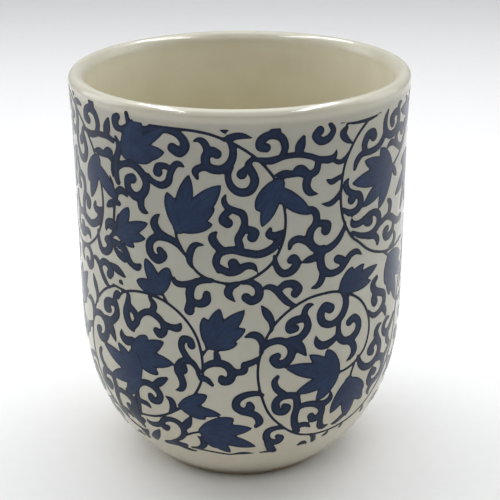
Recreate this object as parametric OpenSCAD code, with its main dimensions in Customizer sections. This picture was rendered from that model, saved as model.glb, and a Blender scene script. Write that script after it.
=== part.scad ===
// Handleless glazed teacup: a straight round cup with a full belly, a rounded lip and a low foot ring.
// The clay body carries its glaze coats and two half-round sheets of transfer print as separate layers.
// Millimetres, +Z up, origin at the middle of the plane that the foot stands on. The front is -Y.

/* [Cup] */
// Height from the table to the crest of the lip
cup_h = 92.4; // [84:0.2:104]
// Outer radius of the straight wall
wall_r = 37.6; // [34:0.1:42]
// Thickness of the wall, with the glaze on both sides
wall_t = 3.2; // [2.6:0.1:4.4]
// Thickness of the floor at its middle, with the glaze on both sides
floor_t = 4.5; // [3.6:0.1:7]

/* [Lip] */
// How far the lip stands out past the straight wall
lip_flare = 0.4; // [0:0.1:0.8]
// Height over which the wall eases out to the lip
flare_h = 16; // [8:1:24]
// Radius of the rounding on the lip's outer side
lip_outer_round = 1.6; // [0.8:0.1:1.8]
// Drop of the softer rounding on the lip's inner side
lip_inner_drop = 2.6; // [1.6:0.1:4]

/* [Belly] */
// Height at which the straight wall starts to turn in
belly_h = 40; // [30:1:45]
// Fullness of the belly's outside: 2 is an ellipse, and more is squarer
belly_fullness = 2.5; // [2.2:0.1:2.8]
// Fullness of the inside, where the wall turns into the floor
bowl_fullness = 3.2; // [2.6:0.1:3.6]

/* [Foot] */
// Radius that the belly has come down to at the table
foot_r = 20.8; // [18:0.1:24]
// Width of the bare ring that the cup stands on
foot_face_w = 2.4; // [1.6:0.1:3.2]
// Height of the recess under the base, up to its glaze
recess_h = 2.2; // [1.6:0.1:3]

/* [Glaze and print] */
// Thickness of each glaze coat
glaze_t = 0.3; // [0.2:0.05:0.5]
// Height at which the outer glaze stops above the table
glaze_stop = 0.8; // [0.6:0.1:1.6]
// Lower edge of the printed band
print_low = 11; // [6:1:20]
// Upper edge of the printed band
print_high = 90; // [70:1:90]
// Thickness of a transfer sheet
print_t = 0.12; // [0.1:0.01:0.2]
// Where the front sheet starts, in degrees round the cup from the front towards +X
sheet_start = -50; // [-180:5:180]
// How far the end of each sheet laps the start of the other, in degrees
lap_width = 15; // [3:1:20]

/* [Hidden] */
$fn = 180;

front_angle = -90;                             // the direction of -Y, as rotate() measures it
lip_r = wall_r + lip_flare;                    // the widest radius, at the lip
lip_z = cup_h - lip_outer_round;               // where the lip's outer rounding starts
crest_r = lip_r - lip_outer_round;             // radius of the lip's crest
flare_z = lip_z - flare_h;                     // where the wall starts to ease out
bowl_r = wall_r - wall_t;                      // radius of the straight inside wall
bowl_depth = belly_h - recess_h - floor_t;     // from the turn of the wall to the inside floor
belly_power = 2;                               // the belly's power across, as in a plain ellipse
// depth that the belly's curve would have if it ran on to the axis
belly_depth = belly_h / pow(1 - pow(foot_r / wall_r, belly_power), 1 / belly_fullness);
foot_z = 0.4;                                  // height of the small rounding at the foot's edge
foot_round_w = 0.5;                            // its width
recess_edge = 0.8;                             // chamfer on the inner side of the foot ring
half_turn = 180;                               // each sheet goes half way round, and then laps the other
step_width = 0.5;                              // the angle in which a sheet steps up onto the other
arc_steps = 12;                                // points on each rounding of the lip
bowl_steps = 40;                               // points on the inside curve

// Outer radius of the glazed cup at a height
function outer_r(z) =
    z < belly_h ? wall_r * pow(1 - pow((belly_h - z) / belly_depth, belly_fullness), 1 / belly_power)
    : z < flare_z ? wall_r
    : wall_r + lip_flare * pow((z - flare_z) / flare_h, 2);

// Heights of the outline's points from the glaze's lower edge to the lip, 1 mm apart on the curves
outline_z = concat(
    [glaze_stop],
    [for (z = [ceil(glaze_stop + 0.5) : 1 : belly_h]) z],
    [for (z = [ceil(flare_z) : 1 : lip_z - 0.3]) z],
    [lip_z]);

// The glazed outside, from the foot up and over to the crest
outer_path = concat(
    [for (z = outline_z) [outer_r(z), z]],
    [for (i = [1 : arc_steps])
        let (a = 90 * i / arc_steps)
        [crest_r + lip_outer_round * cos(a), lip_z + lip_outer_round * sin(a)]]);

// The bare stretch of the outline between the foot's edge and the glaze
bare_path = [for (z = [foot_z, (foot_z + glaze_stop) / 2]) [outer_r(z), z]];

// The glazed inside, from the crest down to the middle of the floor
inner_path = concat(
    [for (i = [0 : arc_steps])
        let (a = 90 + 90 * i / arc_steps)
        [crest_r + (crest_r - bowl_r) * cos(a), cup_h - lip_inner_drop + lip_inner_drop * sin(a)]],
    [for (i = [0 : bowl_steps])
        let (a = 90 * i / bowl_steps)
        [bowl_r * pow(cos(a), 2 / bowl_fullness), belly_h - bowl_depth * pow(sin(a), 2 / bowl_fullness)]]);

// Unit normal on the left of a path at point i
function path_normal(path, i) =
    let (
        a = path[max(i - 1, 0)],
        b = path[min(i + 1, len(path) - 1)],
        d = b - a)
    [-d[1], d[0]] / norm(d);

// A path moved to its left by d
function offset_path(path, d) = [for (i = [0 : len(path) - 1]) path[i] + d * path_normal(path, i)];
function reversed(path) = [for (i = [len(path) - 1 : -1 : 0]) path[i]];
function from_to(path, a, b) = [for (i = [a : b]) path[i]];

// Where the clay meets the outer glaze: the whole outline, moved in by the glaze
outer_clay_full = offset_path(concat(bare_path, outer_path), glaze_t);
outer_clay = concat(
    from_to(outer_clay_full, len(bare_path), len(outer_clay_full) - 2),
    [[crest_r, cup_h - glaze_t]]);
bare_clay = from_to(outer_clay_full, 0, len(bare_path) - 1);

// Where the clay meets the inner glaze
inner_clay_full = offset_path(inner_path, glaze_t);
inner_clay = concat(
    [[crest_r, cup_h - glaze_t]],
    from_to(inner_clay_full, 1, len(inner_clay_full) - 2),
    [[0, belly_h - bowl_depth - glaze_t]]);

foot_edge_r = bare_clay[0][0] - foot_round_w;  // outer radius of the standing face
foot_inner_r = foot_edge_r - foot_face_w;      // its inner radius
recess_r = foot_inner_r - recess_edge;         // radius of the recess

// The fired clay: wall, floor and foot ring in one piece
module clay_body() {
    foot = [
        [0, recess_h + glaze_t],
        [recess_r, recess_h + glaze_t],
        [recess_r, recess_edge],
        [foot_inner_r, 0],
        [foot_edge_r, 0],
        [foot_edge_r + foot_round_w * 0.7, foot_z * 0.3]];
    color([0.86, 0.82, 0.72])
        rotate_extrude()
            polygon(concat(foot, bare_clay, outer_clay, from_to(inner_clay, 1, len(inner_clay) - 1)));
}

// The glass coat on the outside, from just above the foot to the crest of the lip
module outer_glaze() {
    color([0.87, 0.85, 0.77])
        rotate_extrude()
            polygon(concat(outer_path, reversed(outer_clay)));
}

// The glass coat poured inside, from the crest of the lip to the floor
module inner_glaze() {
    color([0.84, 0.81, 0.70])
        rotate_extrude()
            polygon(concat(inner_path, reversed(inner_clay)));
}

// The glass coat in the recess under the base, inside the bare ring
module base_glaze() {
    color([0.87, 0.85, 0.77])
        translate([0, 0, recess_h])
            cylinder(h = glaze_t, r = recess_r);
}

// The band's section, lifted off the glaze by low and high
module band_section(low, high) {
    band = [for (z = outline_z) if (z >= print_low && z <= print_high) [outer_r(z), z]];
    polygon(concat(offset_path(band, -high), reversed(offset_path(band, -low))));
}

// A stretch of the band, from one angle round the cup to another
module band_sweep(from, to, low, high) {
    rotate([0, 0, front_angle + from])
        rotate_extrude(angle = to - from)
            band_section(low, high);
}

// One sheet of transfer print: half way round on the glaze, then a step up, then its end over the other sheet
module transfer_sheet(start) {
    step = start + half_turn - step_width;
    lap = start + half_turn;
    color([0.13, 0.17, 0.33]) {
        band_sweep(start, lap, 0, print_t);
        band_sweep(step, lap, 0, 2 * print_t);
        band_sweep(step, lap + lap_width, print_t, 2 * print_t);
    }
}

module front_transfer() {
    transfer_sheet(sheet_start);
}

module back_transfer() {
    transfer_sheet(sheet_start + half_turn);
}

clay_body();
outer_glaze();
inner_glaze();
base_glaze();
front_transfer();
back_transfer();
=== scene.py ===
import math
import bpy
import numpy as np
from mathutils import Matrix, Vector


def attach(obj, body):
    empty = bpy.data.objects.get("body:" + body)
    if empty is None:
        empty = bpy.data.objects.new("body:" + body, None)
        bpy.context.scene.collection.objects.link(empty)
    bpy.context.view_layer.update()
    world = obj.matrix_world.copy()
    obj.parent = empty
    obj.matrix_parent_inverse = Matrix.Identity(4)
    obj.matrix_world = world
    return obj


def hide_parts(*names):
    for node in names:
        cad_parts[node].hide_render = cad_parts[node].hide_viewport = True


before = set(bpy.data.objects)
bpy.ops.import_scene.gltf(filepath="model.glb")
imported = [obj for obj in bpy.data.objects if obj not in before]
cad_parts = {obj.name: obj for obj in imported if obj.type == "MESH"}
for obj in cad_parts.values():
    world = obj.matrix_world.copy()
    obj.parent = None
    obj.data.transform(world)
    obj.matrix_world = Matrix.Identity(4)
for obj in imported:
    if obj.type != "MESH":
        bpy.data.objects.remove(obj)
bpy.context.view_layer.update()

MM = .001

# ---- the cup's outline, in millimetres
CUP_H = 92.4       # height, from the foot's standing face to the lip's crest
WALL_R = 37.6      # outer radius of the wall
WALL_T = 3.2       # thickness of the wall
FLOOR_T = 4.5      # thickness of the floor, over the recess
LIP_FLARE = .4     # how far the lip leans out past the wall
FLARE_H = 16.0     # height over which it does
LIP_OUTER = 1.6    # radius of the lip's outer rounding
LIP_INNER = 2.6    # height of its inner rounding
BELLY_H = 40.0     # height at which the belly turns into the straight wall
BELLY_POWER = 2.5  # fullness of the belly outside
BOWL_POWER = 3.2   # fullness of the bowl inside
FOOT_R = 20.8      # outer radius at the foot
FOOT_FACE = 2.4    # width of the ring it stands on
RECESS_H = 2.2     # height of the recess under the base
RECESS_EDGE = .8   # chamfer round the recess
GLAZE_T = .3       # thickness of the glazes
GLAZE_STOP = .8    # height at which the outer glaze stops above the foot
FOOT_ROUND = .5    # rounding at the foot's outer edge

LIP_R = WALL_R + LIP_FLARE
LIP_Z = CUP_H - LIP_OUTER
CREST_R = LIP_R - LIP_OUTER
FLARE_Z = LIP_Z - FLARE_H
BOWL_R = WALL_R - WALL_T
BOWL_DEPTH = BELLY_H - RECESS_H - FLOOR_T
BELLY_DEPTH = BELLY_H / (1 - (FOOT_R / WALL_R) ** 2) ** (1 / BELLY_POWER)
FOOT_CURVE = [(.3, .06), (.46, .25)]  # points on the foot's rounding: (out from the face, up)
SEGMENTS = 384    # facets round the cup
LIP_POINTS = 15   # points on each rounding of the lip
BOWL_POINTS = 60  # points on the curve of the inside
FOOT_ZONE = 6.0   # height under which the outside's points are closer
ON_AXIS = 1e-6    # a radius under this is on the cup's axis
SHARP_ANGLE = math.radians(40)  # edges sharper than this are kept


def outer_r(z):
    """Outer radius of the glazed cup at a height."""
    if z < BELLY_H:
        return WALL_R * math.sqrt(1 - ((BELLY_H - z) / BELLY_DEPTH) ** BELLY_POWER)
    if z < FLARE_Z:
        return WALL_R
    return WALL_R + LIP_FLARE * ((z - FLARE_Z) / FLARE_H) ** 2


def outside_path():
    """The glazed outside, from the foot up and over to the lip's crest."""
    low = np.concatenate([np.arange(GLAZE_STOP, FOOT_ZONE, .4), np.arange(FOOT_ZONE, BELLY_H, .8)])
    high = np.linspace(BELLY_H, LIP_Z, 36)
    wall = [(outer_r(z), z) for z in np.concatenate([low, high])]
    lip = np.radians(np.linspace(0, 90, LIP_POINTS)[1:])
    return wall + [(CREST_R + LIP_OUTER * math.cos(a), LIP_Z + LIP_OUTER * math.sin(a)) for a in lip]


def inside_path():
    """The glazed inside, from the lip's crest down to the middle of the floor."""
    across, start = CREST_R - BOWL_R, CUP_H - LIP_INNER
    lip = np.radians(np.linspace(90, 180, LIP_POINTS))
    path = [(CREST_R + across * math.cos(a), start + LIP_INNER * math.sin(a)) for a in lip]
    path += [(BOWL_R, z) for z in np.linspace(start, BELLY_H, 26)[1:-1]]
    for a in np.radians(np.linspace(0, 90, BOWL_POINTS)):
        r = BOWL_R * max(math.cos(a), 0) ** (2 / BOWL_POWER)
        path.append((r, BELLY_H - BOWL_DEPTH * math.sin(a) ** (2 / BOWL_POWER)))
    path[-1] = (0, path[-1][1])
    return path


def moved_in(path, distance):
    """A path moved to its left, which on these outlines is into the clay."""
    pts = np.array(path, float)
    ahead = np.vstack([pts[1:], pts[-1]])
    behind = np.vstack([pts[0], pts[:-1]])
    along = ahead - behind
    along /= np.linalg.norm(along, axis=1)[:, None]
    return pts + distance * np.stack([-along[:, 1], along[:, 0]], 1)


def new_object(name, data):
    """An object in the scene."""
    made = bpy.data.objects.new(name, data)
    bpy.context.scene.collection.objects.link(made)
    return made


def new_piece(name, vertices, faces, node, slot_name, material):
    """A mesh piece in metres from millimetres, riding on the cup and standing for a CAD node."""
    mesh = bpy.data.meshes.new(name)
    mesh.from_pydata((np.asarray(vertices) * MM).tolist(), [], faces)
    mesh.shade_smooth()
    mesh.set_sharp_from_angle(angle=SHARP_ANGLE)
    piece = new_object(name, mesh)
    mesh.materials.append(material)
    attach(piece, "root")
    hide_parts(node)
    return piece


def revolved(loop):
    """Vertices and faces of a closed loop of (radius, height) turned about the cup's axis."""
    angles = np.arange(SEGMENTS) * 2 * math.pi / SEGMENTS
    vertices, rings, faces = [], [], []
    for r, z in loop:
        start = len(vertices)
        if r < ON_AXIS:
            vertices.append((0, 0, z))
            rings.append([start] * (SEGMENTS + 1))
        else:
            vertices += [(r * math.sin(a), -r * math.cos(a), z) for a in angles]
            rings.append([*range(start, start + SEGMENTS), start])
    for ring, after in zip(rings, rings[1:] + rings[:1]):
        for k in range(SEGMENTS):
            face = dict.fromkeys((ring[k], ring[k + 1], after[k + 1], after[k]))
            if len(face) > 2:
                faces.append(tuple(face))
    return vertices, faces


# ---- the print's artwork
# The artwork is drawn flat, in millimetres: first how far round the cup from the front, at the lip's
# radius, and then how far up the wall, along its surface from the table. A stroke is a smooth curve
# through its points.

GRID = .385          # step of the grid that it is drawn on
PACE = .5 * GRID     # how close together the discs that make up a stroke are
VINE = .62           # width of a plain vine stem
REPEAT = 75.4        # the artwork repeats this far on
REPEAT_FROM = -25.0  # what starts left of this is not repeated
REPEAT_LEVEL = 62.0  # height at which the repeat is at exactly its place
REPEAT_LEAN = .1     # how far right it goes for each millimetre above that
REPEAT_LEAN_MOST = .8  # and how far right at most
REPEAT_GROWTH = .045   # how much taller it is drawn
SHEET_LEFT, SHEET_RIGHT = -33.2, 96.4  # how far round a sheet reaches
BAND_LOW, BAND_HIGH = 15.0, 96.0       # and how far up
HALF_TURN = math.pi * LIP_R  # from a place on one sheet to the same place on the other
# Where a sheet's right end is cut, over the start of the other sheet: (round, up)
END_CUT = [(-27.4, 14), (-27.2, 24), (-27, 29), (-25.6, 31.5), (-24.2, 34.5), (-23.4, 38), (-24.4, 41.3),
           (-29.2, 42.3), (-30.2, 47), (-29.2, 50), (-29.1, 54.7), (-31, 55.5), (-31, 57.1), (-29.3, 58),
           (-30, 66), (-28.2, 74), (-29.6, 79), (-29.4, 87), (-28.4, 89), (-29.2, 92), (-30.5, 96)]
# The sheets' upper edge, which is lower between their ends: (round, up)
TOP_CUT = [(-24, 96), (-22.8, 94.1), (64, 94.1), (66, 96)]

# Plain stems: (round, up)
VINES = [
    # The upper left circle, from the top edge round to its bloom's foot
    [(-19, 93.8), (-12, 93.7), (-8.7, 93.5), (-5.3, 92.8), (-1, 91), (3.3, 88), (6.7, 84), (8.4, 80),
     (9.3, 75), (8.9, 70.5), (7.2, 66.4), (4.7, 63.7), (.9, 61.6), (-3.7, 61.1), (-8.7, 62.8),
     (-11.5, 66.4), (-13.2, 69.4), (-13.8, 71.6), (-13.4, 73.4)],
    # The upper right circle
    [(29.4, 93), (26.7, 90.7), (24.6, 87.9), (22.9, 84.3), (22.2, 80), (22.2, 76), (23, 72.4),
     (25.1, 68.5), (27.7, 66.3), (30.4, 64.1), (33.5, 62.5), (38, 61.2), (43, 60.8), (49, 61.2)],
    [(38.8, 79.9), (41.7, 81), (44.3, 82.3), (46.8, 84.2)],
    # The lower right circle, and the long bow under it that runs on to the next circle
    [(4.2, 45), (5.3, 48.3), (7.2, 51.5), (10.4, 54.4), (14.4, 56.3), (18.3, 56.8), (22, 56.4),
     (26.7, 54.2), (29.6, 51.6), (31.6, 48), (32, 44.4), (30.9, 40.8), (28.6, 38.6), (25.4, 37.1),
     (22, 36.8)],
    [(27.6, 37.9), (26.8, 35.4), (26.3, 32.6)],
    [(4.6, 46.6), (3.6, 42.5), (3.5, 38.7), (4.2, 34.7), (6, 29.6), (9.2, 25.5), (13.4, 22), (18.3, 20.3),
     (23.5, 20), (29, 20.7), (34, 22.6), (38.4, 26), (42, 30.6), (44.6, 37), (46, 44), (48, 51),
     (51.4, 55.4), (54.9, 56.4), (58.1, 55.7), (60.7, 54.3), (63.2, 52.2), (65.2, 49.6), (66.4, 46),
     (66.9, 41.5), (66.3, 37.5), (64, 33.3), (60, 29.2), (54, 25.7), (48.5, 23.4)],
    # The lower left circle
    [(-30, 53), (-29.2, 54.2), (-27.9, 55.2), (-25.4, 56.1), (-22.6, 56.5), (-20.2, 56.4), (-17.2, 55.7),
     (-14.6, 54.3), (-12.2, 52.2), (-10.3, 49.5), (-9.1, 46.4), (-8.5, 41.8), (-9, 37.6), (-11.3, 33.3),
     (-15.3, 29.2), (-21.3, 25.7), (-27.2, 24.4)],
    # Short stems of single blooms
    [(-17.6, 57.6), (-16.2, 55.3)],
    [(-8.6, 44), (-6.6, 47.2)],
    [(-15.3, 29.4), (-13.8, 30.2), (-12, 30.4)],
    [(-14.4, 21.5), (-12, 22.8), (-9, 23.8)],
    [(36.9, 61.4), (39.2, 59.8), (40.6, 58)],
]

# Strokes that swell and taper: (round, up, width)
SCROLLS = [
    # Top edge, left to right
    [(-25, 92.6, 1.2), (-26.3, 91.9, 1.4), (-27.8, 92.2, 1.8), (-28, 93.6, 2.1), (-27.2, 94.4, 1.6)],
    [(-24.3, 91, 1), (-24.2, 93, 1.2), (-24.6, 95.5, 1.1)],
    [(-21, 92.6, 1.6), (-17.5, 93.2, 1.5), (-14.4, 93.2, 1.5), (-12.2, 92.3, 1.8), (-11.2, 90.4, 2.1),
     (-12.4, 88.9, 2.2), (-13.9, 89.6, 2.3)],
    [(-3.2, 92, .9), (-1.5, 92.6, 1.5), (.4, 92.8, 1.3), (2.5, 92.3, .2)],
    [(-3.9, 94, .3), (-3.1, 93.9, 1), (-2.3, 94, .3)],
    [(-3.1, 93.8, 1), (-2.9, 93.2, .2)],
    [(3.2, 87.8, 1), (6, 87.4, 1.6), (9, 88.1, 1.3), (12, 88.2, 1.3), (14.5, 87.6, 1.3),
     (16.6, 86.7, 1.4), (19, 86.3, 1.7), (20.3, 86.9, 1.2), (20.7, 88.2, .2)],
    [(19.8, 86.1, 1), (21.6, 85.3, 1.1), (23.2, 86, 1), (23.8, 87, .4)],
    [(8.4, 88.2, 1.2), (9.1, 90, 1.6), (8.3, 92.1, 1.8), (6.2, 92.8, 1.8), (4.3, 91.9, 1.9),
     (4, 90.5, 1.9), (5.2, 90.2, 2)],
    [(7.3, 92.8, 1.9), (7, 94.6, 2.3)],
    [(11.9, 88.3, 1.3), (12.3, 90, 2.2), (13, 91.9, .8)],
    [(18.9, 93.8, 1.1), (19.7, 92.3, 1.4), (18.6, 90.8, 1.7), (16.8, 90.5, 1.8), (15.7, 91.7, 1.9),
     (16.5, 92.7, 2.1)],
    [(21.3, 93.6, .2), (25, 93, .6), (28.6, 92.9, .8), (31, 93.1, .6), (33.6, 93.6, .2)],
    [(24.9, 88.7, .3), (23.2, 89.8, 1.4), (22.2, 91.2, 1.8), (23, 92.4, 1)],
    [(36.4, 93.4, .6), (35.5, 91.6, 1.5), (35.7, 89.2, 1.8), (37.6, 87.7, 1.8), (40.2, 87.8, 1.8),
     (42, 89.4, 1.8), (41.8, 91.6, 1.8), (40, 92.1, 1.7), (38.4, 91.2, 2), (38.8, 90, 2.1)],
    [(41.6, 92, 1.7), (42, 93.3, 1.5), (43.5, 93.7, .3)],
    # Left of the upper left circle
    [(-28.2, 89.8, .8), (-27.4, 88, 1.6), (-27.9, 86.2, 1.8), (-28.7, 84.4, 2), (-28.8, 82, 2),
     (-28.3, 80, 1.3)],
    [(-28.7, 80.8, 1.4), (-27.4, 79.9, .2)],
    [(-27, 88, 1.1), (-25, 87.6, 1.4)],
    [(-28.6, 83, 1.6), (-26.6, 84.3, 1.5), (-24, 84.7, 1.6), (-21.7, 83.6, 1.9), (-20.4, 81.3, 1.9),
     (-21.2, 79, 2), (-23.3, 77.9, 2), (-25.2, 79.2, 1.9), (-25.3, 81.2, 1.9), (-24, 81.7, 2.3)],
    [(-21.7, 78.4, 1.8), (-22, 76.4, 1.8), (-21.4, 75.2, 1.5), (-20, 74.8, .2)],
    [(-20, 83, 1.2), (-18.7, 81.9, 1.4), (-16.8, 81.4, 1.6), (-15.2, 82.3, 1.7), (-14.6, 84.2, 1.5),
     (-13.6, 86, 1.5), (-12.6, 86.4, 1.3), (-11.4, 85.8, .2)],
    [(-14.3, 84.9, 1.2), (-15.6, 85.6, 1.4), (-17.3, 85.4, 1.6), (-17.5, 84.2, 2.3)],
    [(-29, 76.8, 1), (-28.4, 78, 1.6), (-27, 78.4, 1.7), (-25.3, 77.2, .2)],
    [(-33.4, 68, .6), (-32.4, 69.6, 1.7), (-30.6, 69.2, 1.5), (-28.6, 68.8, 1.2)],
    [(-15.8, 70.1, 1.7), (-17.7, 71, 2), (-18.8, 72.7, 2), (-18.3, 74.2, 1.3), (-17.4, 75, .3)],
    [(-12.2, 67.2, .6), (-13.4, 68.9, 1.4), (-15.5, 70, 1.8), (-18.3, 69.9, 1.7), (-20, 68.4, 1.9),
     (-20, 66.2, 2), (-18.4, 64.9, 2.1), (-16.9, 65.9, 2.1), (-17.6, 67, 1.8)],
    # Inside the upper left circle
    [(-2.1, 91.8, 1.2), (-1.4, 89.6, 1.6), (-2, 87.2, 1.8), (-4, 85.7, 1.9), (-6.5, 86.2, 2),
     (-7, 88.2, 2), (-5.8, 89.5, 2), (-4.7, 89, 2.1)],
    [(-6.6, 89.8, 1.6), (-7.2, 91.2, 1.6), (-8.3, 91.8, 1.1), (-9.7, 91.3, .2)],
    [(-6.3, 86, 1.4), (-8, 86, 1.6), (-9.2, 85.1, 1.6), (-8.8, 83.7, .8)],
    [(-1.9, 86.4, 1.3), (-2.5, 84.5, 1.4), (-1.9, 82.3, 1.6), (-.2, 81, 1.8), (1.9, 81.3, 1.9),
     (2.9, 83.2, 1.9), (2.4, 85.2, 1.7), (1.6, 86.7, 1.5), (2.4, 88, 1)],
    [(1.8, 86.4, 1.5), (.9, 85.6, 1.6), (.3, 84.8, 2.2)],
    [(-3, 80.5, .4), (-3.4, 79.2, 1.2), (-2.7, 77.8, 1.4), (-1, 77, 1.5), (.4, 76.3, 1.7),
     (.8, 74.5, 1.5), (.3, 72.6, 1.7), (-.5, 71, 1.7), (-.2, 69.2, 1.8)],
    [(-1.6, 77.2, 1.3), (-3, 76.4, 1.6), (-3.6, 75, 2), (-2.7, 74.4, 2.3)],
    [(.7, 72.7, 1.4), (1.8, 73, 1.5), (2.9, 72.3, 1.9), (2.4, 71.3, 2.3)],
    [(-4.6, 63.9, 1.4), (-5.2, 65.8, 1.7), (-4.3, 67.8, 1.7), (-1.8, 68.5, 1.7), (1, 67.9, 1.8),
     (3.8, 67.5, 1.8), (6.5, 68.6, 1.8), (8, 70.6, 1.4), (8.9, 72.2, .8)],
    [(8.5, 71.8, 1.4), (7, 71.3, 1.8), (5.8, 71.7, 1.6), (6.1, 72.9, .8)],
    [(-3.8, 68.4, 1.6), (-5.2, 69.6, 1.9), (-5.9, 71.2, 1.8), (-4.9, 72.5, .4)],
    [(-7.5, 69.4, .2), (-9.5, 69.3, 1.3), (-10.6, 67.8, 1.7), (-10.9, 65.8, 1.5), (-10.4, 64.4, .8)],
    [(-4.7, 64.6, 1.6), (-2.7, 63.6, 1.8), (-.8, 64, 2), (.8, 64.9, 1.6), (2.4, 64.9, 1.5),
     (3.5, 63.5, .2)],
    [(-1.1, 64.2, 1.8), (-1.6, 65.5, 2.4)],
    # Between the two upper circles
    [(7.2, 84.3, .6), (9, 84.4, 1.8), (10.9, 84.3, 1.5), (12.4, 84.8, 2.6), (14.2, 83.8, 1.8),
     (15.9, 84.3, 1.7), (16.4, 86.2, 1.5)],
    [(14.2, 83.6, 2), (13.8, 81.4, 1.9), (14.6, 79.9, 1.6), (16.5, 79.3, .2)],
    [(13, 76.1, 1.6), (15.2, 76, 1.7), (16.2, 74.6, 1.7), (15.9, 72.8, 1.7), (14.8, 71.2, 1.9),
     (14.8, 69, 1.9), (16.3, 67.3, 1.9), (18.8, 66.8, 1.8), (21.3, 68, 1.6), (22.9, 70, 1.2),
     (23.5, 71.8, .6)],
    [(15.8, 72.6, 1.5), (17.4, 72.8, 1.6), (18.8, 72.2, 2), (18.5, 71.1, 2.4)],
    [(10.2, 68.2, .8), (10.7, 69.6, 1.5), (12.2, 70.1, 1.7), (13.8, 69.4, 1.6), (15, 68.4, 1.6)],
    [(22.4, 82.3, .9), (21, 81.8, 1.2), (19.6, 81.4, 1.3), (18.3, 82.2, .2)],
    [(22.2, 79.2, .8), (21, 77.6, 1.3), (19.3, 76.7, 1.3), (17.3, 77, .2)],
    [(13, 64.8, .4), (14.8, 65.2, 1.7), (17, 65.7, 1.7), (18, 67, 1.8)],
    [(17.9, 67, 1.9), (17.3, 64.9, 2), (17.9, 62.4, 2), (19.8, 61.1, 1.7), (22.3, 61.4, 1.7),
     (24, 62.9, 1.7), (25.2, 64.1, 1.6), (27, 64.4, 1.4), (28.9, 63.1, .2)],
    [(23.8, 62.8, 1.6), (22.7, 63.5, 2), (21.6, 64, 2)],
    [(18, 62, 1.7), (17.6, 60, 1.7), (16.6, 58.9, 1.3), (15.1, 58.6, .3)],
    # Inside the upper right circle
    [(25.7, 83, .9), (26.3, 84.6, 1.5), (27.8, 85.8, 1.5), (30.5, 85.8, 1.5), (33, 86.2, 1.6),
     (34.8, 87.5, 1.6), (35.6, 88.9, 1.6)],
    [(28.9, 86, 1.3), (28.4, 87.6, 1.8), (29.3, 89.4, 2), (30.9, 89.8, 2), (31.3, 88.9, 2.3)],
    [(24.2, 81.4, .2), (23.4, 80.2, 1.5), (24, 78.6, 1.6), (25.6, 77.6, 1.7), (27.3, 76.9, 1.8),
     (27.8, 75.3, 1.9), (26.8, 73.9, 1.8), (24.8, 73.6, 1.6), (22.8, 74.7, 1)],
    [(26, 77.4, 1.5), (25.1, 76.5, 2.3)],
    [(25.2, 72.3, .3), (25.7, 70.9, 1.5), (27.4, 70.6, 1.6), (29, 71, 1.6), (30.8, 71.8, 1.5),
     (33, 71.7, 1.7), (34.5, 70.2, 1.9), (33.9, 68.2, 1.8), (31.5, 67.2, 1.6), (28.5, 67.6, 1.4),
     (25.6, 69, .9)],
    [(29, 71.2, 1.5), (30, 70.3, 2), (31, 70.2, 2.3)],
    [(30.6, 66.9, 1.5), (33, 66.3, 1.5), (34.2, 65.1, 1.6), (34.2, 64.1, .9)],
    [(38.4, 72.9, 1), (39.5, 71.8, 1.7), (39.2, 70.2, 1.6), (38.2, 69.2, 1.2)],
    [(34.6, 68.3, 1.2), (37.5, 69.2, 1.5), (40, 68.6, 1.7), (42.3, 67.2, 1.8), (44.6, 66.3, 1.6),
     (47.4, 66.4, 1.5)],
    [(41.8, 67, 1.5), (41.5, 65.4, 1.6), (39.6, 64.4, 1.8), (37.8, 64.7, 2), (37.3, 65.9, 2),
     (38.4, 66.3, 1.7)],
    [(42.3, 64.3, .9), (43, 62.9, 1.6), (41.8, 61.6, 1.5), (40, 61.3, .8)],
    [(36.8, 85, .5), (38.3, 85.7, 1.3), (40.4, 85.3, 1.5), (42.8, 84, 1.6), (45.2, 83.3, 1.7),
     (46.8, 84.6, 1.5), (48.6, 86.2, 1)],
    [(42, 84.6, 1.5), (41.2, 86.6, 1.5), (42.6, 87.9, 1.7), (44.6, 87.9, 2), (45.2, 86.8, 2.3)],
    [(40.3, 80.2, .4), (41.2, 78.7, 1.8), (42.5, 77.3, .2)],
    # Under the upper left circle
    [(.2, 61.3, 1), (2, 61.3, 1.4), (3.6, 60, 1.8), (3.6, 58, 2), (2.2, 57.1, 2), (1, 57.9, 2.1)],
    [(-.8, 61, 1.2), (-2.2, 60.3, 1.8), (-2.7, 58.7, 1.8), (-1.3, 56.9, .3)],
    [(7, 66.8, .8), (7.4, 64.6, 1.4), (8.7, 62.9, 1.7), (10.6, 63.1, 1.9), (11.8, 64.6, 2),
     (11.2, 65.9, 2), (10.4, 65.6, 1.6)],
    [(4.3, 59.7, .3), (5.8, 60.1, 1.3), (7.3, 59.3, 1.6), (8.6, 57.6, 1.6), (10, 56.1, 1.5),
     (11.6, 55.1, .8)],
    [(7.9, 59.1, 1.4), (9.2, 60.3, 1.7), (11.1, 60.2, 1.9), (12.2, 59, 2.1), (11.6, 58, 2.1)],
    [(-6.3, 61.6, 1.2), (-8.5, 61.4, 1.5), (-10.2, 60.5, 1.8), (-11, 58.5, 2), (-10.9, 56.5, 1.9),
     (-11.2, 54.4, 2.4)],
    [(-10.8, 56.7, 1.6), (-9, 56.1, 1.8), (-7.5, 56.9, 2.1), (-7.3, 58.4, 1.7)],
    [(-10.8, 60.6, 1.4), (-12.6, 60.1, 1.5), (-14.2, 60.4, 1.4), (-14.6, 61.8, .2)],
    [(-31.5, 66.2, 1.2), (-29.5, 66, 1.7), (-27.2, 65.2, 1.9), (-26.2, 63.3, 1.9), (-25, 62.2, 1.5),
     (-23.6, 62, 1.7), (-22.8, 62.7, .8)],
    [(-30.3, 64.6, 1), (-28.9, 63.6, 1.8), (-27.4, 63.1, 2)],
    [(-32, 60.4, 1.2), (-29.6, 59.8, 2), (-26.9, 58.6, .2)],
    # Inside the lower left circle
    [(-26.6, 54.7, 1.2), (-26.9, 52.6, 1.9), (-27.5, 50.3, 2.2), (-26.7, 48, 2.2), (-25.6, 46.9, 1.2)],
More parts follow.
